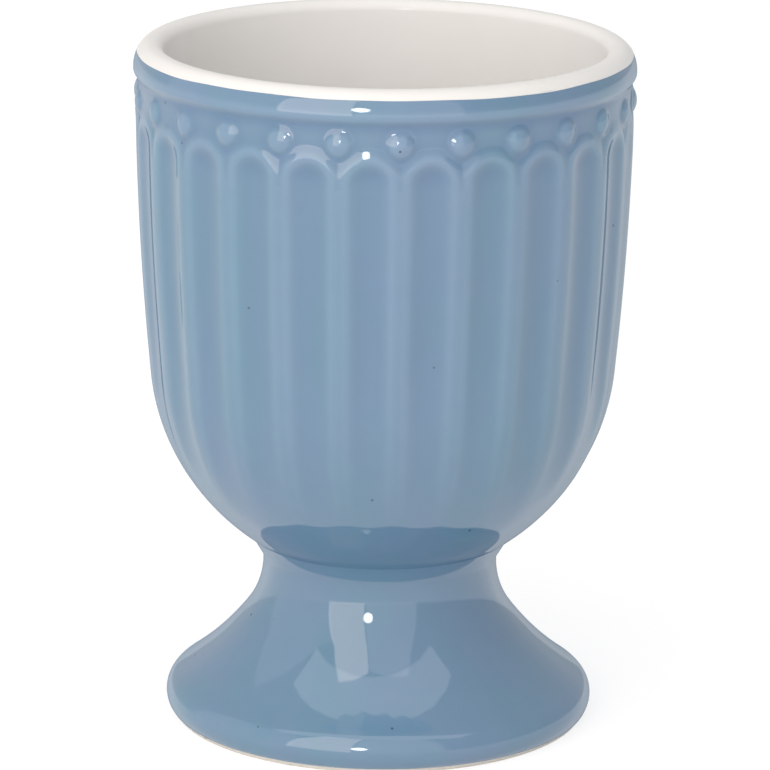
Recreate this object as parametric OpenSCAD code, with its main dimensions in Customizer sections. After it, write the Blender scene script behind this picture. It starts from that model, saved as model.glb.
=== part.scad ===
// Footed egg cup in glazed stoneware: a fluted bowl with a row of beads under its rim band, luted with slip
// to a hollow flared foot, blue glaze outside and white glaze inside and over the lip.
// Sizes are those of the finished, glazed surface unless a comment says otherwise.

/* [Overall] */
// Height from the table to the top of the lip
height = 65.3; // [63:0.1:68]
// Thickness of every coat of glaze
glaze = 0.3; // [0.2:0.05:0.4]
// Turn of the first bead from the front towards the right, in degrees
turn = 3.7; // [0:0.1:13]

/* [Bowl] */
// Radius of the rounded belly, centred on the axis
belly_r = 22.2; // [21.6:0.1:22.6]
// How much wider than the belly the wall is at its top
wall_flare = 1.2; // [0.8:0.1:1.8]
// Thickness of the bowl's wall with both its coats
wall = 2.7; // [2.4:0.1:3.2]

/* [Rim] */
// How far below the top of the lip the rim band ends and the frieze starts
band_drop = 2.8; // [2.4:0.1:3.2]
// How far the rim band stands out from the wall
band_proud = 0.12; // [0.05:0.01:0.2]
// Radius of the rounding on both edges of the lip
lip_round = 1; // [0.9:0.1:1.2]
// How far below the top of the lip the white glaze ends
colour_drop = 0.8; // [0.6:0.1:0.9]

/* [Frieze] */
// Number of beads, arches and flutes round the bowl
count = 26; // [24:1:28]
// Depth of the frieze's floor below the wall
frieze_depth = 0.45; // [0.3:0.05:0.6]
// How far below the top of the lip the bead centres lie
bead_drop = 5; // [4.7:0.05:5.3]
// Diameter of a bead where it meets the frieze's floor
bead_d = 2.45; // [2:0.05:3]
// How far a bead stands out from the frieze's floor
bead_proud = 0.5; // [0.4:0.05:0.7]
// How far below the top of the lip the arches have their crowns
crown_drop = 6.25; // [6:0.05:7]
// Radius of an arch's outer edge
arch_r = 3.2; // [3:0.05:3.5]

/* [Flutes] */
// Width of a flute at the wall's surface
flute_w = 3.9; // [3.4:0.1:4.3]
// Depth of a flute below the wall's surface
flute_depth = 0.45; // [0.3:0.05:0.6]
// Height of plain surface between a flute's top and the arch's outer edge above it
arch_rim = 0.7; // [0.5:0.05:1]
// Height above the table at which the flutes run out
flute_low_z = 28; // [27:0.5:30]

/* [Foot] */
// Height of the neck's narrowest level, where the bowl is joined to the foot
neck_z = 14.1; // [13:0.1:15]
// Radius of the neck at its narrowest
neck_r = 11.3; // [10.5:0.1:12.5]
// Radius of the hollow curve round the neck
neck_round = 4.7; // [4:0.1:5.5]
// Radius of the foot's long hollow flare
flare_r = 25.3; // [22:0.1:30]
// Radius of the foot at its widest
foot_r = 20.5; // [19.5:0.1:21.5]
// Radius of the foot's rounded edge
edge_round = 2.9; // [2.5:0.1:3.2]
// Height of the foot's widest level
edge_z = 1.65; // [1.3:0.05:2]
// Thickness of the foot's wall with both its coats
foot_wall = 2.6; // [2.3:0.1:3]
// Distance from the foot's widest level in to the inner edge of the foot ring on which the cup stands
ring_in = 3; // [2.6:0.1:3.6]
// Height of the roof of the hollow under the foot
roof_z = 10.6; // [9.5:0.1:11.5]
// Height of the bare stoneware left above the table, outside and inside the foot ring
bare_z = 0.6; // [0.4:0.1:1]

/* [Joint] */
// Thickness of the layer of slip that joins the bowl to the foot
slip = 0.4; // [0.3:0.1:0.6]
// Number of rings scored into each joint face to key the slip
score_count = 3; // [2:1:4]
// Width and depth of a scored ring
score = 0.5; // [0.3:0.1:0.6]

/* [Hidden] */
$fn = 96;
// Steps of the outline's arcs, in degrees
arc_step = 6;
// Steps of the wall's long arc
wall_steps = 6;
// Steps of a flute's floor over the belly, and how many of them it takes to reach its depth
floor_steps = 4;
run_out = 2;
// Overrun of every cut
over = 3;

pitch = 360 / count;
wall_r = belly_r + wall_flare;
wall_top_z = height - band_drop;
band_r = wall_r + band_proud;
inner_r = wall_r - wall;
frieze_r = wall_r - frieze_depth;
bead_z = height - bead_drop;
arch_z = height - crown_drop - arch_r;

// The neck's hollow curve touches the belly, whose centre lies as high as that takes
neck_reach = neck_r + neck_round;
neck_c = [neck_reach, neck_z];
belly_z = neck_z + sqrt(pow(belly_r + neck_round, 2) - neck_reach * neck_reach);

// The wall is an arc that runs smoothly into the belly, so its radius and centre follow from both
wall_rise = wall_top_z - belly_z;
wall_curve = (wall_r * wall_r + wall_rise * wall_rise - belly_r * belly_r) / (2 * wall_flare);
wall_c = [wall_r - wall_curve, wall_top_z];
belly_c = [0, belly_z];
wall_angle = atan2(belly_c.y - wall_c.y, belly_c.x - wall_c.x);

// The flare touches the neck's curve and the foot's edge
edge_c = [foot_r - edge_round, edge_z];
flare_c = meet(edge_c, flare_r + edge_round, neck_c, flare_r - neck_round);
belly_angle = atan2(neck_c.y - belly_c.y, neck_c.x - belly_c.x);
neck_angle = 360 + atan2(neck_c.y - flare_c.y, neck_c.x - flare_c.x);
edge_angle = atan2(flare_c.y - edge_c.y, flare_c.x - edge_c.x);
ring_r = foot_r - ring_in;

flute_top_z = height - crown_drop - arch_rim - flute_w / 2;
flute_low_angle = asin((flute_low_z - belly_z) / belly_r);
bead_round = (bead_d * bead_d / 4 + bead_proud * bead_proud) / (2 * bead_proud);

// The crossing to the right of the line from a to b of circles of radius ra about a and rb about b
function meet(a, ra, b, rb) =
    let (d = norm(b - a), along = (d * d + ra * ra - rb * rb) / (2 * d), u = (b - a) / d,
        across = sqrt(ra * ra - along * along))
    a + along * u + across * [u.y, -u.x];

// Radii at which the joint faces are scored
function score_radii() = [for (i = [1:score_count]) (neck_r - glaze) * i / (score_count + 1)];

// Points on an arc of radius r about c, from angle a0 to angle a1 in steps of about arc_step degrees
function arc(c, r, a0, a1) =
    let (n = max(2, ceil(abs(a1 - a0) / arc_step)))
    [for (i = [0:n]) let (a = a0 + (a1 - a0) * i / n) c + r * [cos(a), sin(a)]];

// Outline of the bowl's outside from the joint up to the rim band's lower edge, moved out by off
function bowl_outline(off) = concat(
    arc(neck_c, neck_round - off, 180, 180 + belly_angle),
    tail(arc(belly_c, belly_r + off, belly_angle, wall_angle)),
    tail(long_arc(wall_c, wall_curve + off, wall_angle, asin(-off / (wall_curve + off)))),
    [[band_r + off, wall_top_z - off]]);

// Points on an arc with a long radius, in wall_steps steps
function long_arc(c, r, a0, a1) =
    [for (i = [0:wall_steps]) let (a = a0 + (a1 - a0) * i / wall_steps) c + r * [cos(a), sin(a)]];

// A list of points without its first, which the arc before it already has
function tail(points) = [for (i = [1:len(points) - 1]) points[i]];

// Angle on the lip's outer rounding at which the colours meet
function colour_angle(off) = asin((lip_round - colour_drop) / (lip_round + off));

// Outline of the lip's outer rounding between two angles, and of the rounding on its inside
function lip_outside(off, a0, a1) = arc([band_r - lip_round, height - lip_round], lip_round + off, a0, a1);
function lip_inside(off) = arc([inner_r + lip_round, height - lip_round], lip_round + off, 90, 180);

// Outline of the bowl's inside from the top of the wall down to the axis
function cavity_outline(off) = concat(
    [[inner_r - off, wall_top_z]],
    tail(long_arc(wall_c, wall_curve - wall - off, 0, wall_angle)),
    tail(arc(belly_c, belly_r - wall - off, wall_angle, -90)));

// Half section of the bowl as if it were solid, up to an angle on the lip's outer rounding
module bowl_core(off, stop) {
    rim = lip_outside(off, 0, stop);
    polygon(concat([[0, neck_z]], bowl_outline(off), rim, [[0, rim[len(rim) - 1].y]]));
}

// Half section of the bowl's wall and lip
module bowl_section(off) {
    polygon(concat([[0, neck_z]], bowl_outline(off), lip_outside(off, 0, 90), lip_inside(off),
        cavity_outline(off)));
}

// Half section of the white coat, which starts at the colour edge outside and lines the whole inside
module liner_section() {
    polygon(concat(lip_outside(0, colour_angle(0), 90), lip_inside(0), cavity_outline(0),
        backwards(cavity_outline(-glaze)), backwards(lip_inside(-glaze)),
        backwards(lip_outside(-glaze, colour_angle(-glaze), 90))));
}

// A list in reverse order
function backwards(points) = [for (i = [len(points) - 1:-1:0]) points[i]];

// Outline of the foot's outside from the lowest level z up to the joint
function foot_outline(off, z) = concat(
    arc(edge_c, edge_round + off, asin((z - edge_z) / (edge_round + off)), edge_angle),
    tail(arc(flare_c, flare_r - off, edge_angle + 180, neck_angle)),
    tail(arc(neck_c, neck_round - off, neck_angle, 180)));

// Outline of the hollow under the foot from the roof's edge down to level z, shrunk by off
function hollow_outline(off, z) =
    let (r = flare_r + foot_wall + off, top = asin((roof_z - off - flare_c.y) / r),
        low = -acos((ring_r - off - flare_c.x) / r))
    concat(arc(flare_c, r, -180 - top, low), [[ring_r - off, z]]);

// Half section of the foot
module foot_section(off) {
    polygon(concat(foot_outline(off, 0), [[0, neck_z], [0, roof_z - off]], hollow_outline(off, 0)));
}

// Sinks the frieze round the bowl, down to the arches that stand at its lower edge
module frieze_cut(off) {
    difference() {
        rotate_extrude()
            translate([frieze_r + off, arch_z]) square([over, wall_top_z - off - arch_z]);
        for (i = [0:count - 1])
            rotate([0, 0, turn - 90 + (i + 0.5) * pitch])
                translate([frieze_r - over, 0, arch_z]) rotate([0, 90, 0])
                    cylinder(r = arch_r + off, h = 3 * over);
    }
}

// Outline of the flutes' floor, from where it dips below the belly up to the rim band's lower edge
function flute_floor(off) = concat(
    [for (i = [0:floor_steps])
        let (a = flute_low_angle + (wall_angle - flute_low_angle) * i / floor_steps,
            depth = flute_depth * min(1, (i - 0.5) / run_out))
        belly_c + (belly_r - depth + off) * [cos(a), sin(a)]],
    tail(long_arc(wall_c, wall_curve - flute_depth + off, wall_angle, 0)));

// Sinks the flutes, each one as wide as flute_w and round at its top, midway between two beads
module flute_cut(off) {
    intersection() {
        rotate_extrude()
            polygon(concat(flute_floor(off), [[wall_r + over, wall_top_z], [wall_r + over, flute_low_z - over]]));
        for (i = [0:count - 1])
            rotate([0, 0, turn - 90 + (i + 0.5) * pitch]) translate([belly_r - over, 0, flute_top_z])
                rotate([0, 90, 0]) {
                    cylinder(r = flute_w / 2 - off, h = 3 * over);
                    translate([0, off - flute_w / 2, 0]) cube([flute_top_z, flute_w - 2 * off, 3 * over]);
                }
    }
}

// Half section of a bead, a low dome of radius bead_round on a straight stem that reaches down to the clay
module bead_area() {
    intersection() {
        translate([0, bead_proud - bead_round]) circle(bead_round);
        translate([0, -glaze]) square([bead_d / 2, bead_proud + glaze]);
    }
}

// One solid of revolution for each bead, standing out from the frieze's floor
module bead_places() {
    for (i = [0:count - 1])
        rotate([0, 0, turn - 90 + i * pitch])
            translate([frieze_r, 0, bead_z]) rotate([0, 90, 0]) children();
}

// Outside of the bowl with its frieze and flutes, up to an angle on the lip's outer rounding
module relief(off, stop) {
    difference() {
        rotate_extrude() bowl_core(off, stop);
        frieze_cut(off);
        flute_cut(off);
    }
}

// Rings scored into a joint face at height z, and the slip that fills them
module score_rings(z) {
    for (r = score_radii())
        translate([0, 0, z - score / 2]) difference() {
            cylinder(r = r + score / 2, h = score);
            translate([0, 0, -over]) cylinder(r = r - score / 2, h = score + 2 * over);
        }
}

// Stoneware bowl with its moulded frieze, and a scored joint face below
module bowl() {
    color("#e6dfd2") difference() {
        rotate_extrude() bowl_section(-glaze);
        frieze_cut(-glaze);
        flute_cut(-glaze);
        translate([0, 0, neck_z - over]) cylinder(r = foot_r, h = over + slip / 2);
        score_rings(neck_z + slip / 2);
    }
}

// Stoneware foot, hollow below, with the bare ring on which the cup stands
module foot() {
    color("#ded6c8") difference() {
        rotate_extrude() foot_section(-glaze);
        translate([0, 0, neck_z - slip / 2]) cylinder(r = foot_r, h = over);
        score_rings(neck_z - slip / 2);
    }
}

// Layer of dried slip between bowl and foot, keyed into the scored rings of both
module joint_slip() {
    color("#cfc6b6") {
        translate([0, 0, neck_z - slip / 2]) cylinder(r = neck_r - glaze, h = slip);
        score_rings(neck_z + slip / 2);
        score_rings(neck_z - slip / 2);
    }
}

// Beads with the glaze that runs over them, one separate dome under each rise of the arches
module bead_row() {
    color("#8aa5c1") bead_places() rotate_extrude() bead_area();
}

// Blue glaze over the bowl's outside, from the neck up to the colour edge under the lip, round the beads
module bowl_glaze() {
    color("#7f9bb9") difference() {
        relief(0, colour_angle(0));
        relief(-glaze, 90);
        bead_places() translate([0, 0, -over / 2]) cylinder(r = bead_d / 2, h = over);
    }
}

// Blue glaze over the foot's outside, wiped off just above the table
module foot_glaze() {
    color("#7894b4") rotate_extrude()
        polygon(concat(foot_outline(0, bare_z), backwards(foot_outline(-glaze, bare_z))));
}

// White glaze inside the bowl and over the lip
module liner_glaze() {
    color("#ece8e4") rotate_extrude() liner_section();
}

// White glaze inside the hollow foot, wiped off above the foot ring
module underside_glaze() {
    color("#e8e4de") rotate_extrude()
        polygon(concat([[0, roof_z]], hollow_outline(0, bare_z), backwards(hollow_outline(-glaze, bare_z)),
            [[0, roof_z + glaze]]));
}

bowl();
foot();
joint_slip();
bead_row();
bowl_glaze();
foot_glaze();
liner_glaze();
underside_glaze();
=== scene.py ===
# %% [markdown]
# # A glazed stoneware egg cup
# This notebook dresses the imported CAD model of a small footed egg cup. The real cup is made of
# pale stoneware, its bowl is moulded with flutes, arches and a row of beads, and it wears two
# glazes: blue outside, and white inside and over the lip. The CAD model says where everything
# is. This file adds the soft forms that a glaze gives, the finishes, the light and the camera.

# %% The frame
import math

import bmesh
import bpy
import numpy as np
from mathutils import Matrix, Vector


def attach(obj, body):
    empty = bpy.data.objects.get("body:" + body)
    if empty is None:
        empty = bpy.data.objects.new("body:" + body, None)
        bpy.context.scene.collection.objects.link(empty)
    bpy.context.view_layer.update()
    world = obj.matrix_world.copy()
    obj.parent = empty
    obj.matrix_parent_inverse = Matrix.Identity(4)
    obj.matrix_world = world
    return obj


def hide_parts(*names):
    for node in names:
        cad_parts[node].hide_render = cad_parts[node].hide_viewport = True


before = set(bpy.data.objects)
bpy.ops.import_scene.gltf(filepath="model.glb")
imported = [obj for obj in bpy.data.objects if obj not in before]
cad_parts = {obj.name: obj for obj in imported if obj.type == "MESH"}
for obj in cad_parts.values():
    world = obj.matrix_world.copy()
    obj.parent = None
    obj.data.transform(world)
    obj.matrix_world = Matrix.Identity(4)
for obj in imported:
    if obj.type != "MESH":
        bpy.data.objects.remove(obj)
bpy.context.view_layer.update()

MM = 0.001
print("CAD nodes:", sorted(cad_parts))

# %% [markdown]
# ## The camera
# The picture is taken with a long lens from a little above the rim, so the mouth shows as a
# flat ellipse and the sides hardly converge. A camera could be aimed with a constraint. Here its
# place and angles were worked out from the cup's outline, so they go into one matrix: put it in
# its place, tilt it down from level, and roll it very slightly.

# %% Camera
camera_place = Vector((0, -451.2, 154.0)) * MM
tilt, yaw, roll = 0.2639, 0.0007, 0.0114
camera_data = bpy.data.cameras.new("camera")
camera_data.sensor_width = 36
camera_data.lens = 229.52
camera = bpy.data.objects.new("camera", camera_data)
bpy.context.scene.collection.objects.link(camera)
bpy.context.scene.camera = camera
camera.matrix_world = (
    Matrix.Translation(camera_place)
    @ Matrix.Rotation(-yaw, 4, "Z")
    @ Matrix.Rotation(math.pi / 2 - tilt, 4, "X")
    @ Matrix.Rotation(roll, 4, "Z")
)
looks_along = camera.matrix_world.to_quaternion() @ Vector((0, 0, -1))
print("camera looks along", [round(v, 3) for v in looks_along])

# %% [markdown]
# ## The outline
# Potters think of a turned pot as one outline swept round an axis. A curve drawn by hand could
# give that outline. This one is built from arcs that touch, because a few sizes then steer it
# and it has no kinks: the foot's rounded edge, its long hollow flare, the neck's hollow, the
# round belly and the nearly straight wall. The neck turns tighter above its narrowest place
# than below it. All sizes are millimetres in the CAD model's frame.

# %% Sizes of the bowl
height = 65.3
belly_r = 22.2
wall_r, wall_top = 23.44, 62.5  # the wall's radius at its top, under the rim band
wall_thick, liner_thick = 2.7, 0.25
band_proud = 0.12
band_r = wall_r + band_proud
inner_r = wall_r - wall_thick
mouth_round = 1.0
lip_deep, lip_tall = 1.55, 2.3  # half axes of the lip's outer rounding
lip_c = (band_r - lip_deep, height - lip_tall)
colour_z = 64.5  # where the white glaze ends on the blue
print("mouth", round(2 * inner_r, 2), "mm wide, rim band", round(2 * band_r, 2), "mm wide")

# %% Sizes of the neck and foot
neck_r, neck_z = 11.18, 15.05
neck_low_round, neck_high_round = 8.4, 3.2
flare_r = 30.0
edge_c, edge_round = (18.25, 1.8), 2.2
bare_z = 0.38  # height of the clay left bare above the table
coat = 0.3
neck_low_c = (neck_r + neck_low_round, neck_z)
neck_high_c = (neck_r + neck_high_round, neck_z)
belly_z = neck_z + math.sqrt((belly_r + neck_high_round) ** 2 - neck_high_c[0] ** 2)
belly_c = (0, belly_z)
wall_rise = wall_top - belly_z
wall_curve = (wall_r**2 + wall_rise**2 - belly_r**2) / (2 * (wall_r - belly_r))
wall_c = (wall_r - wall_curve, wall_top)
wall_angle = math.atan2(belly_z - wall_top, -wall_c[0])
print("belly centre at", round(belly_z, 2), "mm, wall arc's radius", round(wall_curve, 1), "mm")


# %% Arcs
def meet(a, ra, b, rb):
    """The crossing, on the outer side, of a circle about a and a circle about b."""
    d = math.dist(a, b)
    along = (d * d + ra * ra - rb * rb) / (2 * d)
    across = math.sqrt(ra * ra - along * along)
    u = ((b[0] - a[0]) / d, (b[1] - a[1]) / d)
    return (a[0] + along * u[0] + across * u[1], a[1] + along * u[1] - across * u[0])


def arc(centre, radius, a0, a1, steps):
    """Points on an arc, from angle a0 to angle a1."""
    angles = [a0 + (a1 - a0) * i / steps for i in range(steps + 1)]
    return [(centre[0] + radius * math.cos(a), centre[1] + radius * math.sin(a)) for a in angles]


flare_c = meet(edge_c, flare_r + edge_round, neck_low_c, flare_r - neck_low_round)
belly_angle = math.atan2(neck_z - belly_z, neck_high_c[0])
neck_angle = 2 * math.pi + math.atan2(neck_z - flare_c[1], neck_low_c[0] - flare_c[0])
edge_angle = math.atan2(flare_c[1] - edge_c[1], flare_c[0] - edge_c[0])
print("flare's centre in mm:", [round(v, 2) for v in flare_c])


# %% Wall and lip
def wall_at(z):
    """Radius of the wall's arc at height z."""
    return wall_c[0] + math.sqrt(wall_curve**2 - (z - wall_c[1]) ** 2)


def lip_at(z, off=0.0):
    """A point of the lip's outer rounding, a quarter of an ellipse, moved out by off."""
    part = min(1.0, max(0.0, (z - lip_c[1]) / lip_tall))
    return (lip_c[0] + lip_deep * math.sqrt(1 - part * part) + off, z)


print("wall's radius at z 50:", round(wall_at(50), 2), "mm")

# %% [markdown]
# ## The mould's relief
# The bowl's decoration is a shallow relief, at most half a millimetre deep: a sunk frieze under
# the rim band, a row of low beads in it, and below it 26 hollow flutes whose tops are round
# arches. It could be cut out with Booleans, but glaze rounds every edge of such a relief, and
# cut edges would have to be softened one by one. So it is described as one smooth height over
# the wall, and every point of a fine mesh is moved by it.

# %% Sizes of the relief
count = 26  # beads, arches and flutes round the bowl
turn = math.radians(3.7)  # turn of the first bead from the front
pitch = 2 * math.pi / count
frieze_depth, frieze_soft = 0.28, 0.85
band_gap, band_soft = 0.1, 0.45  # between the frieze and the rim band
bead_z, bead_half, bead_high = 60.3, 1.25, 0.44
bead_soft, bead_end, bead_end_soft = 0.14, 1.75, 0.35
ball = (bead_half**2 + bead_high**2) / (2 * bead_high)
arch_z, arch_r, arch_end = 56.25, 3.2, 0.5
flute_half, flute_depth, flute_top, flute_soft = 2.05, 0.47, 56.85, 0.2
flute_wide_r = 23.35  # radius at which a flute has its full width
flute_ends = [(0.6, 34, 9), (0.4, 25.5, 4)]  # share of the depth, height and softness of its end
body_z = [17, 25, 30, 35.7, 50, 62.5]
body_r = [13, 19.5, 21.5, 22.2, 23.15, 23.4]
print("a bead every", round(pitch * wall_r, 2), "mm, each a cap of a ball of", round(ball, 2), "mm")


# %% Soft steps
def smooth(t):
    """A soft step from 0 at t = -1 to 1 at t = 1."""
    t = np.clip((t + 1) / 2, 0, 1)
    return t * t * (3 - 2 * t)


def soft_ramp(h, corner):
    """h where it is above zero and nothing below, with the corner rounded."""
    return (h + np.sqrt(h * h + corner * corner)) / 2


print("soft step at -1, 0 and 1:", [float(smooth(t)) for t in (-1, 0, 1)])


# %% The relief's height
def relief(turned, z):
    """Height of the relief over the wall, in mm, at an angle from the first bead and a height z."""
    r = np.interp(z, body_z, body_r)
    part = turned / pitch
    from_flute = (part - np.floor(part) - 0.5) * pitch * r
    from_bead = (part - np.round(part)) * pitch * r
    # The frieze is sunk outside the arches and below the rim band
    past_arch = np.hypot(from_flute, np.maximum(z - arch_z, 0)) - arch_r
    past_arch = np.where(z > arch_z, past_arch, np.minimum(past_arch, z - arch_z - arch_end))
    sunk = smooth(past_arch / frieze_soft) * smooth((wall_top - band_gap - z) / band_soft)
    # A flute is a hollow with a round top, and it runs out over the belly in two soft steps
    half = flute_half * r / flute_wide_r
    out = np.hypot(from_flute, np.maximum(z - flute_top, 0)) / half
    fade = sum(share * smooth((z - end) / soft) for share, end, soft in flute_ends)
    flute = -flute_depth * fade * soft_ramp(1 - out**2, flute_soft)
    # A bead is a low cap that the glaze has joined softly to the frieze's floor
    reach = np.hypot(from_bead, z - bead_z)
    dome = np.sqrt(np.maximum(ball**2 - reach**2, 0)) - (ball - bead_high)
    bead = soft_ramp(dome, bead_soft) * smooth((bead_end - reach) / bead_end_soft)
    band = band_proud * smooth((z - wall_top) / band_soft)
    return flute * (1 - sunk) + sunk * (bead - frieze_depth) + band


flute_middle = relief(np.array(pitch / 2), np.array(50.0))
print("relief on a flute's axis at z 50:", round(float(flute_middle), 3), "mm")

# %% [markdown]
# ## The blue coat
# One continuous coat of glaze runs from just above the table, over the foot, the neck and the
# bowl, to the colour edge at the lip, and it covers the beads too. A sphere or a cylinder could
# be sculpted into it, but a turned pot asks for a spin: its outline is spun round the axis into
# one closed shell, and the spun rings are cut finer where the small beads and arches are. Then
# each outer point is moved to its place on the outline plus the relief.

# %% Rows of the blue coat
# The last number of each arc and of each linspace sets how many rows that part gets.
fine_z, fine_r = 55.1, 22.75  # above and outside of these the rings are cut finer
edge_low = math.asin((bare_z - edge_c[1]) / edge_round)
edge_r = edge_c[0] + edge_round * math.cos(edge_low)
bare_edge = [(edge_r - 0.2, bare_z), (edge_r - 0.07, bare_z + 0.02), (edge_r - 0.01, bare_z + 0.08)]
foot_rows = arc(edge_c, edge_round, edge_low + 0.05, edge_angle, 14)
foot_rows += arc(flare_c, flare_r, edge_angle + math.pi, neck_angle, 16)[1:]
foot_rows += arc(neck_low_c, neck_low_round, neck_angle, math.pi, 12)[1:]
foot_rows += arc(neck_high_c, neck_high_round, math.pi, math.pi + belly_angle, 12)[1:]
belly_rows = arc(belly_c, belly_r, belly_angle, wall_angle, 31)[1:]
wall_rows = [(wall_at(z), z) for z in np.linspace(belly_z, fine_z, 27)][2:]
frieze_rows = [(wall_at(min(z, wall_top)), z) for z in np.linspace(fine_z, lip_c[1], 48)[1:]]
band_rows = [lip_at(z, wall_r - band_r) for z in np.linspace(lip_c[1], colour_z, 11)[1:]]
hidden_lip = [lip_at(colour_z + 0.12, wall_r - band_r - 0.08)]
outer_rows = foot_rows + belly_rows + wall_rows + frieze_rows + band_rows + hidden_lip
outer_rows = sorted(set((float(r), float(z)) for r, z in outer_rows), key=lambda p: p[1])
print("rows of the outer surface:", len(outer_rows))


# %% Spinning an outline
def spin_outline(points, steps):
    """A bmesh of a closed outline spun once round the upright axis."""
    bm = bmesh.new()
    corners = [bm.verts.new((r, 0, z)) for r, z in points]
    lines = [bm.edges.new(pair) for pair in zip(corners, corners[1:] + corners[:1])]
    bmesh.ops.spin(bm, geom=corners + lines, cent=(0, 0, 0), axis=(0, 0, 1), angle=2 * math.pi,
                   steps=steps, use_merge=True)
    bmesh.ops.remove_doubles(bm, verts=bm.verts, dist=1e-4)
    bmesh.ops.recalc_face_normals(bm, faces=bm.faces)
    return bm


def new_piece(bm, name):
    """Turns a bmesh in millimetres into an object in metres that rides on the cup's one body."""
    bmesh.ops.scale(bm, vec=(MM, MM, MM), verts=bm.verts)
    mesh = bpy.data.meshes.new(name)
    bm.to_mesh(mesh)
    bm.free()
    for face in mesh.polygons:
        face.use_smooth = True
    piece = bpy.data.objects.new(name, mesh)
    bpy.context.scene.collection.objects.link(piece)
    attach(piece, "root")
    print(name, "has", len(mesh.polygons), "faces")
    return piece


# %% The blue coat's shell
# The shell's inner side has few rows, and lies deep enough to stay behind the relief.
deep = frieze_depth + coat
under_rows = arc(edge_c, edge_round - coat, edge_low, edge_angle, 5)
under_rows += arc(flare_c, flare_r + coat, edge_angle + math.pi, neck_angle, 6)[1:]
under_rows += arc(neck_low_c, neck_low_round + coat, neck_angle, math.pi, 3)[1:]
under_rows += arc(belly_c, belly_r - deep, belly_angle + 0.05, wall_angle, 8)
under_rows += [(wall_r - deep, wall_top), (wall_r - deep, colour_z - 0.1)]
bm = spin_outline(bare_edge + outer_rows + under_rows[::-1], count * 14)
rings = [e for e in bm.edges if abs(e.verts[0].co.z - e.verts[1].co.z) < 1e-5]
fine = [e for e in rings if e.verts[0].co.z > fine_z + 0.01 and e.verts[0].co.xy.length > fine_r]
bmesh.ops.subdivide_edges(bm, edges=fine, cuts=1, use_grid_fill=True, use_single_edge=True)
print("blue coat:", len(bm.verts), "points,", len(fine), "edges cut finer")

# %% Moving the outer points
# The sway is the slight unevenness of a wall that was shaped by hand, at most a twentieth of a
# millimetre, and it ends below the beads.
skin, relief_low = 0.12, 18  # how far in a point still counts as outer, where the relief starts
sway_end, sway_soft = 60, 6
row_z = np.array([z for r, z in outer_rows])
row_r = np.array([r for r, z in outer_rows])
spots = np.array([v.co[:] for v in bm.verts])
up = spots[:, 2]
far = np.hypot(spots[:, 0], spots[:, 1])
turned = np.arctan2(spots[:, 1], spots[:, 0]) + math.pi / 2 - turn
plain = np.interp(up, row_z, row_r)
outer = (far > plain - skin) & (up > bare_z + 0.3)
carved = outer & (up > relief_low) & (up < colour_z + 0.2)
lift = np.where(carved, relief(turned, up), 0)
sway = 0.03 * np.sin(3 * turned + up / 9) + 0.02 * np.sin(5 * turned - up / 14)
target = np.where(outer, plain + lift + sway * smooth((sway_end - up) / sway_soft), far)
for v, r0, r1 in zip(bm.verts, far, target):
    v.co.x *= r1 / r0
    v.co.y *= r1 / r0
blue_coat = new_piece(bm, "blue_coat")
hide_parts("bowl", "bowl_glaze", "bead_row", "foot_glaze")

# %% Where the glaze pools
# Runny glaze leaves ridges and gathers in hollows. A point lies in a hollow where the relief on a
# small ring round it is higher than at the point itself, and this is kept as an attribute.
ring, slant = 1.1, 0.8
pool_depth = 0.15  # difference in height at which the glaze is fully pooled
around = [(ring, 0), (-ring, 0), (0, ring), (0, -ring)]
around += [(slant, slant), (-slant, slant), (slant, -slant), (-slant, -slant)]
near = sum(relief(turned + a / body_r[-1], up + b) for a, b in around) / len(around)
pool = np.where(carved, np.clip((near - lift) / pool_depth, -0.7, 1.1), 0)
layer = blue_coat.data.attributes.new("pool", "FLOAT", "POINT")
layer.data.foreach_set("value", pool.astype(np.float32))
print("pool runs from", round(float(pool.min()), 2), "to", round(float(pool.max()), 2))

# %% [markdown]
# ## The white liner
# The white glaze lines the whole inside and comes over the lip, where it ends in a crisp edge on
# the blue. A mask in one material could give the two colours, but a real edge has a thickness
# that catches the light. So the liner is a second closed shell, spun like the first. Its edge
# lies a few hundredths of a millimetre over the blue coat, and wanders a little, as an edge that
# was dipped by hand does.

# %% The liner's outline
start = math.asin((colour_z - lip_c[1]) / lip_tall)
turns = [start + (math.pi / 2 - start) * (i + 1) / 14 for i in range(14)]
mouth_c = (inner_r + mouth_round, height - mouth_round)
colour_r = lip_at(colour_z)[0]
rim_edge = [(colour_r - 0.06, colour_z - 0.05), (colour_r + 0.012, colour_z - 0.04),
            (colour_r + 0.025, colour_z + 0.01)]
liner_top = [(lip_c[0] + lip_deep * math.cos(a), lip_c[1] + lip_tall * math.sin(a)) for a in turns]
liner_top += arc(mouth_c, mouth_round, math.pi / 2, math.pi, 14)
liner_wall = [(wall_at(z) - wall_thick, z) for z in np.linspace(wall_top, belly_z, 22)]
liner_floor = arc(belly_c, belly_r - wall_thick, wall_angle, -math.pi / 2, 34)[1:]
back = wall_thick - liner_thick
liner_back = arc(belly_c, belly_r - back, -math.pi / 2, wall_angle, 14)
liner_back += [(wall_at(z) - back, z) for z in np.linspace(belly_z, wall_top, 5)[1:]]
liner_back += [(inner_r + liner_thick, height - mouth_round),
               (inner_r + mouth_round, height - liner_thick), (lip_c[0], height - liner_thick),
               (colour_r - 0.22, colour_z + 0.1)]
liner_outline = rim_edge + liner_top + liner_wall + liner_floor + liner_back
liner_outline = [(max(r, 0.0), z) for r, z in liner_outline]
print("points of the liner's outline:", len(liner_outline))

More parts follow.
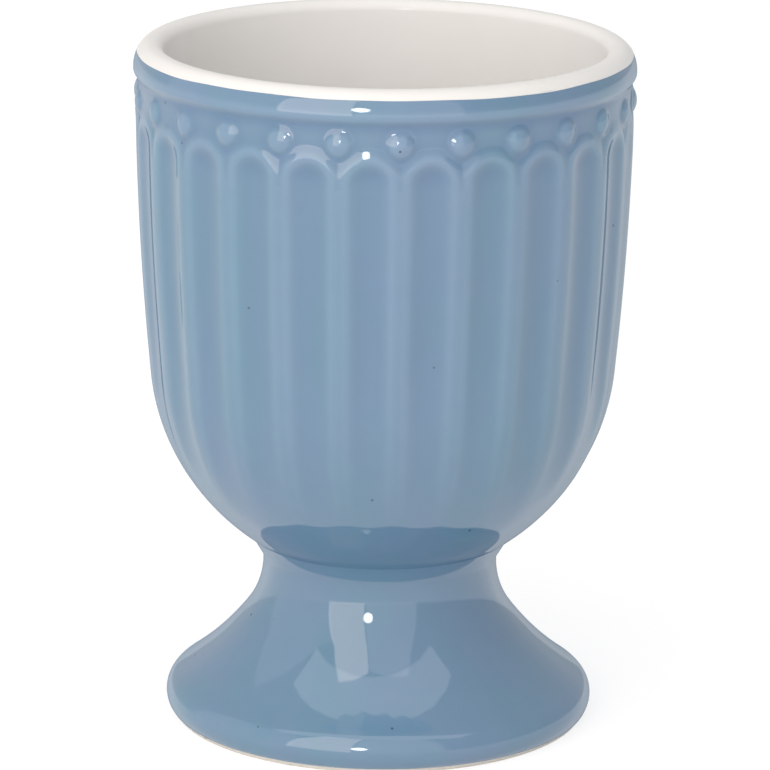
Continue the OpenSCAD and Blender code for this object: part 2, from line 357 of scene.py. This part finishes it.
# %% The liner's shell
# Three waves of different lengths make the colour edge wander. Where it rises it also follows
# the lip's rounding inwards, by half as much.
waves = [(0.05, 3, 1), (0.03, 8, 0), (0.015, 19, 2)]
follow = 0.5
bm = spin_outline(liner_outline, 320)
for v in bm.verts:
    angle = math.atan2(v.co.y, v.co.x)
    if v.co.z < colour_z + 0.13 and v.co.xy.length > colour_r - 0.15:
        rise = sum(size * math.sin(times * angle + shift) for size, times, shift in waves)
        far_out = v.co.xy.length
        v.co.x *= 1 - follow * rise / far_out
        v.co.y *= 1 - follow * rise / far_out
        v.co.z += rise
white_liner = new_piece(bm, "white_liner")
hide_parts("liner_glaze")

# %% [markdown]
# ## The finishes
# Glaze is a thin layer of coloured glass on fired clay. A photograph could be laid on as an image
# texture, but it would bring its own light and shade along. These materials are procedural
# instead, and read the object's own coordinates in metres, so each pattern has its real size.

# %% Colours and nodes
def linear(hex_colour):
    """The linear colour of an sRGB hex value."""
    parts = [int(hex_colour[i:i + 2], 16) / 255 for i in (1, 3, 5)]
    return tuple(c / 12.92 if c <= 0.04045 else ((c + 0.055) / 1.055) ** 2.4 for c in parts) + (1,)


def new_material(name):
    """An empty node material with its output and its shader."""
    material = bpy.data.materials.new(name)
    material.use_nodes = True
    tree = material.node_tree
    tree.nodes.clear()
    output = tree.nodes.new("ShaderNodeOutputMaterial")
    shader = tree.nodes.new("ShaderNodeBsdfPrincipled")
    tree.links.new(shader.outputs[0], output.inputs[0])
    return material, tree, shader


def add(tree, kind, settings=None, **inputs):
    """Adds a node; a setting is an attribute, and an input is a value or another node's output."""
    node = tree.nodes.new("ShaderNode" + kind)
    for key, value in (settings or {}).items():
        setattr(node, key, value)
    for key, value in inputs.items():
        socket = node.inputs[int(key[1:]) if key[1:].isdigit() else key.replace("_", " ")]
        if isinstance(value, bpy.types.NodeSocket):
            tree.links.new(value, socket)
        else:
            socket.default_value = value
    return node


def per_metre(millimetres):
    """The scale of a pattern whose features are this far apart."""
    return 1 / (millimetres * MM)


COLOUR = {"data_type": "RGBA"}
print("linear middle blue:", [round(c, 3) for c in linear("#6789a4")])

# %% [markdown]
# ## What all the glazes share
# The eye reads a glaze by its clear gloss, by a surface that is never quite flat, and by a few
# specks of iron or grog. The gloss is a clear coat over the colour. It thins out where it is
# seen edge on, because a full coat there mirrors the white room and washes the outline out.

# %% Gloss, ripple and specks
def gloss_coat(tree, shader, ior, rough, strength):
    """Clear glass over the colour, weaker where it is seen edge on."""
    shader.inputs["Specular IOR Level"].default_value = 0.0
    shader.inputs["Coat IOR"].default_value = ior
    shader.inputs["Coat Roughness"].default_value = rough
    facing = add(tree, "LayerWeight", Blend=0.5).outputs["Facing"]
    weight = add(tree, "MapRange", Value=facing, From_Min=0.7, From_Max=1.0, To_Min=strength,
                 To_Max=0.12).outputs[0]
    tree.links.new(weight, shader.inputs["Coat Weight"])


def ripple(tree, shader, spot, apart, strength):
    """The faint waviness of a glaze that has set, under the gloss and in it."""
    wave = add(tree, "TexNoise", Vector=spot, Scale=per_metre(apart), Detail=1.0).outputs["Fac"]
    bump = add(tree, "Bump", Strength=strength, Distance=0.06 * MM, Height=wave)
    tree.links.new(bump.outputs[0], shader.inputs["Normal"])
    tree.links.new(bump.outputs[0], shader.inputs["Coat Normal"])


def specks(tree, spot, under, apart, outer_part, inner_part, most, colour):
    """Round specks over a colour; their size is a part of their distance apart."""
    cells = add(tree, "TexVoronoi", Vector=spot, Scale=per_metre(apart)).outputs["Distance"]
    speck = add(tree, "MapRange", Value=cells, From_Min=outer_part, From_Max=inner_part,
                To_Max=most).outputs[0]
    return add(tree, "Mix", COLOUR, _0=speck, _6=under, _7=linear(colour)).outputs[2]


print("a pattern of 4 mm has the scale", per_metre(4))

# %% [markdown]
# ## Blue glaze
# A gloss glaze over pale stoneware. It is deeper in colour where it ran together in hollows and
# paler where it drew thin over ridges, it drifts between a greener and a redder blue in tall
# soft clouds, as it ran down the wall, and it has a few dark iron specks. The gloss has a higher
# IOR than the 1.5 of common glazes, because the real cup mirrors its windows that strongly.

# %% Depth of the blue
blue, tree, shader = new_material("blue_gloss_glaze")
spot = add(tree, "TexCoord").outputs["Object"]
thick = add(tree, "Attribute", {"attribute_name": "pool"}).outputs["Fac"]
mottle = add(tree, "TexNoise", Vector=spot, Scale=per_metre(2.2), Detail=4.0, Roughness=0.6)
tide = add(tree, "Math", {"operation": "MULTIPLY_ADD"}, _0=mottle.outputs["Fac"], _1=0.35, _2=thick)
level = add(tree, "MapRange", Value=tide.outputs[0], From_Min=-1.2, From_Max=1.6).outputs[0]
ramp = add(tree, "ValToRGB", Fac=level)
ramp.color_ramp.elements[0].color = linear("#7d9cb6")
ramp.color_ramp.elements[1].color = linear("#587b9d")
middle = ramp.color_ramp.elements.new(0.48)
middle.color = linear("#6789a4")
print("the blue runs through", len(ramp.color_ramp.elements), "depths")

# %% Drift, specks and gloss of the blue
tall_spot = add(tree, "Mapping", Vector=spot, Scale=(1, 1, 0.35)).outputs[0]
cloud = add(tree, "TexNoise", Vector=tall_spot, Scale=per_metre(7), Detail=3.0, Roughness=0.5)
drift = add(tree, "MapRange", Value=cloud.outputs["Fac"], From_Min=0.36, From_Max=0.64).outputs[0]
hue = add(tree, "Mix", COLOUR, _0=drift, _6=linear("#f2fcfa"), _7=linear("#fffaff"))
tint = add(tree, "Mix", {**COLOUR, "blend_type": "MULTIPLY"}, _0=1.0, _6=ramp.outputs[0],
           _7=hue.outputs[2])
flecked = specks(tree, spot, tint.outputs[2], 4.2, 0.045, 0.028, 1.0, "#3f5668")
tree.links.new(flecked, shader.inputs["Base Color"])
shader.inputs["Roughness"].default_value = 0.3
gloss_coat(tree, shader, 1.8, 0.05, 1.0)
ripple(tree, shader, spot, 3.5, 0.3)
blue_coat.data.materials.append(blue)
print(blue.name, "has", len(tree.nodes), "nodes")

# %% [markdown]
# ## White glaze
# The same kind of glaze without the blue: a clean, hardly warm white that varies very little,
# with a rare brownish speck. Its gloss is softer than the blue's, so the inside looks even.

# %% White glaze
white, tree, shader = new_material("white_gloss_glaze")
spot = add(tree, "TexCoord").outputs["Object"]
mottle = add(tree, "TexNoise", Vector=spot, Scale=per_metre(5), Detail=3.0).outputs["Fac"]
cream = add(tree, "Mix", COLOUR, _0=mottle, _6=linear("#edecea"), _7=linear("#e9e7e4"))
flecked = specks(tree, spot, cream.outputs[2], 7, 0.022, 0.014, 0.5, "#9a8f80")
tree.links.new(flecked, shader.inputs["Base Color"])
shader.inputs["Roughness"].default_value = 0.3
gloss_coat(tree, shader, 1.5, 0.07, 0.5)
ripple(tree, shader, spot, 4, 0.25)
white_liner.data.materials.append(white)
print(white.name, "has", len(tree.nodes), "nodes")

# %% [markdown]
# ## Bare stoneware and slip
# Where the glaze was wiped off the foot ring, the fired clay is matt and finely grained, with
# sparse darker grog. The slip in the joint is a browner clay of the same kind. New meshes could
# be made for both, but their plain forms are already right in the CAD model. So its own pieces
# stay and only get a material.

# %% Bare stoneware and slip
def clay(name, pale, dark, rough):
    """Fired clay without glaze: matt, finely grained, with sparse grog."""
    material, tree, shader = new_material(name)
    spot = add(tree, "TexCoord").outputs["Object"]
    grain = add(tree, "TexNoise", Vector=spot, Scale=per_metre(0.5), Detail=4.0, Roughness=0.7)
    body = add(tree, "Mix", COLOUR, _0=grain.outputs["Fac"], _6=linear(pale), _7=linear(dark))
    grogged = specks(tree, spot, body.outputs[2], 1.6, 0.16, 0.1, 0.5, "#a08f78")
    tree.links.new(grogged, shader.inputs["Base Color"])
    shader.inputs["Roughness"].default_value = rough
    shader.inputs["IOR"].default_value = 1.5
    bump = add(tree, "Bump", Strength=0.6, Distance=0.08 * MM, Height=grain.outputs["Fac"])
    tree.links.new(bump.outputs[0], shader.inputs["Normal"])
    return material


stoneware = clay("bare_stoneware", "#ebe7e0", "#e0dbd2", 0.85)
dried_slip = clay("fired_slip", "#d6cdbd", "#c8beac", 0.9)
print("clays:", stoneware.name, "and", dried_slip.name)


# %% Dressing the CAD pieces that stay
def dress(node, material):
    """Gives a CAD node a material and leaves its mesh as it is."""
    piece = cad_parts[node]
    if not piece.material_slots:
        piece.data.materials.append(material)
    for slot in piece.material_slots:
        slot.material = material
    print(node, "wears", material.name)


dress("foot", stoneware)
dress("joint_slip", dried_slip)
dress("underside_glaze", white)

# %% [markdown]
# ## The floor
# The cup stands on plain white paper that runs out of the picture on all sides. Stronger light
# could make the paper white, but it would bleach the cup too. So the paper is a little brighter
# to the eye than to the light: what is seen of it, straight or mirrored, glows softly and still
# takes the cup's shadow, and the light that it throws on the cup is that of ordinary paper.

# %% Floor
table_half = 3
bm = bmesh.new()
bmesh.ops.create_grid(bm, x_segments=4, y_segments=4, size=table_half)
mesh = bpy.data.meshes.new("table_top")
bm.to_mesh(mesh)
bm.free()
table_top = bpy.data.objects.new("table_top", mesh)
bpy.context.scene.collection.objects.link(table_top)
print("the table is", 2 * table_half, "m wide")


# %% White paper
def shown(tree):
    """1 for what is seen, straight, mirrored or through glass, and 0 for light on its way."""
    path = add(tree, "LightPath")
    mirrored = add(tree, "Math", {"operation": "MAXIMUM"}, _0=path.outputs["Is Camera Ray"],
                   _1=path.outputs["Is Glossy Ray"])
    return add(tree, "Math", {"operation": "MAXIMUM"}, _0=mirrored.outputs[0],
               _1=path.outputs["Is Transmission Ray"]).outputs[0]


paper, tree, shader = new_material("white_paper")
shader.inputs["Base Color"].default_value = linear("#e7e7e7")
shader.inputs["Roughness"].default_value = 0.9
veil = add(tree, "BsdfDiffuse", Color=linear("#a8a8a8"))
glow = add(tree, "Emission", Color=(1, 1, 1, 1), Strength=0.72)
both = add(tree, "AddShader", _0=veil.outputs[0], _1=glow.outputs[0])
choice = add(tree, "MixShader", _0=shown(tree), _1=shader.outputs[0], _2=both.outputs[0])
output = next(n for n in tree.nodes if n.type == "OUTPUT_MATERIAL")
tree.links.new(choice.outputs[0], output.inputs[0])
mesh.materials.append(paper)
print(paper.name, "has", len(tree.nodes), "nodes")

# %% [markdown]
# ## The light
# A glossy pot is lit by what it mirrors. A sun lamp would give one hard spark and no form. So
# the world is an even pale room, a little darker to the right and overhead, and area lamps
# stand for a pale wall at the left, two tall windows in front with one stronger than the other,
# a panel overhead, and one small bare lamp beside the camera that leaves the sharp sparkles.

# %% Room
world = bpy.data.worlds.new("studio")
bpy.context.scene.world = world
world.use_nodes = True
tree = world.node_tree
tree.nodes.clear()
way = add(tree, "SeparateXYZ", Vector=add(tree, "TexCoord").outputs["Generated"])
side = add(tree, "MapRange", Value=way.outputs["X"], From_Min=-1.0, From_Max=1.0, To_Min=0.75,
           To_Max=0.6).outputs[0]
rise = add(tree, "MapRange", Value=way.outputs["Z"], To_Min=1.0, To_Max=0.9).outputs[0]
strength = add(tree, "Math", {"operation": "MULTIPLY"}, _0=side, _1=rise).outputs[0]
room = add(tree, "Background", Color=(1, 1, 1, 1), Strength=strength)
output = tree.nodes.new("ShaderNodeOutputWorld")
tree.links.new(room.outputs[0], output.inputs[0])
print(world.name, "has", len(tree.nodes), "nodes")

# %% Lamps
cup_middle = Vector((0, 0, 35)) * MM


def panel(name, azimuth, distance, rise, wide, tall, power, colour="#ffffff", upright=False,
          shape="RECTANGLE"):
    """A soft panel towards the cup, in metres and watts.

    Azimuth 0 is in front and grows to the right, and rise is the height of its middle."""
    lamp = bpy.data.lights.new(name, "AREA")
    lamp.shape = shape
    lamp.size, lamp.size_y = wide, tall
    lamp.energy = power
    lamp.color = linear(colour)[:3]
    a = math.radians(azimuth)
    away = Vector((math.sin(a), -math.cos(a), 0))
    holder = bpy.data.objects.new(name, lamp)
    holder.location = away * distance + Vector((0, 0, rise))
    way = away if upright else holder.location - cup_middle
    holder.rotation_euler = way.to_track_quat("Z", "Y").to_euler()
    bpy.context.scene.collection.objects.link(holder)
    print(name, "at", [round(v, 2) for v in holder.location], "m")


panel("left_wall", -80, 0.9, 0.45, 1.2, 1.2, 1.2, upright=True)
panel("left_window", -31, 0.5, 0.56, 0.305, 1.12, 1.85, "#ffefe4", upright=True)
panel("right_window", 11, 0.5, 0.56, 0.44, 1.12, 0.8, upright=True)
panel("overhead_panel", -5, 0.16, 0.61, 0.9, 0.2, 0.4)
panel("bare_lamp", -10.5, 0.58, 0.185, 0.085, 0.14, 0.28, shape="ELLIPSE")

# %% Picture settings
# Standard shows a colour as it is written, and a filmic view would grey the white glaze.
bpy.context.scene.view_settings.view_transform = "Standard"
print("view transform:", bpy.context.scene.view_settings.view_transform)
